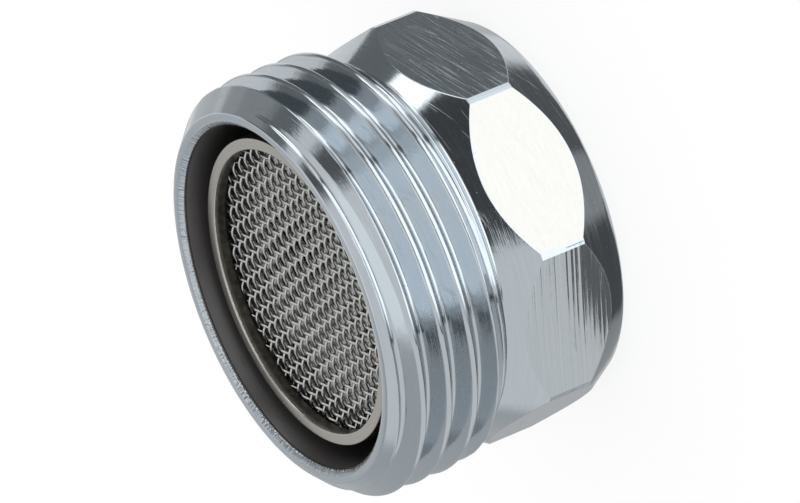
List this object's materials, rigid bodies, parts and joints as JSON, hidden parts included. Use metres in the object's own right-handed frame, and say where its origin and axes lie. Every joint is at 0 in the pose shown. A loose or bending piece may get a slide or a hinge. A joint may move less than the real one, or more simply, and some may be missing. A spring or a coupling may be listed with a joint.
{
  "type": "threaded nipple",
  "caption": "Chromed tap adapter nipple: octagonal end with an internal tap thread, hose thread at the other end, and a mesh aerator insert inside.",
  "frame": {"origin": "Bottom centre of the inlet face, the octagonal end that it stands on.", "axes": "+Z runs along the bore from the inlet to the hose end, which is the short way of the part. One flat of the octagon faces -Y."},
  "size_m": [0.0264, 0.0264, 0.0169],
  "materials": {
    "body_chrome": "polished chrome over turned brass",
    "insert_steel": "drawn stainless steel, satin",
    "mesh_steel": "woven stainless wire",
    "insert_plastic": "moulded dark grey plastic",
    "washer_rubber": "soft black rubber"
  },
  "bodies": {
    "root": {"adapter_body": "body_chrome", "insert_sleeve": "insert_steel", "outlet_mesh": "mesh_steel", "mesh_spacer_ring": "insert_plastic", "inner_mesh": "mesh_steel", "mixing_ring": "insert_plastic", "jet_disc": "insert_plastic", "inlet_strainer": "mesh_steel", "strainer_ring": "insert_steel", "seal_washer": "washer_rubber"}
  },
  "joints": []
}
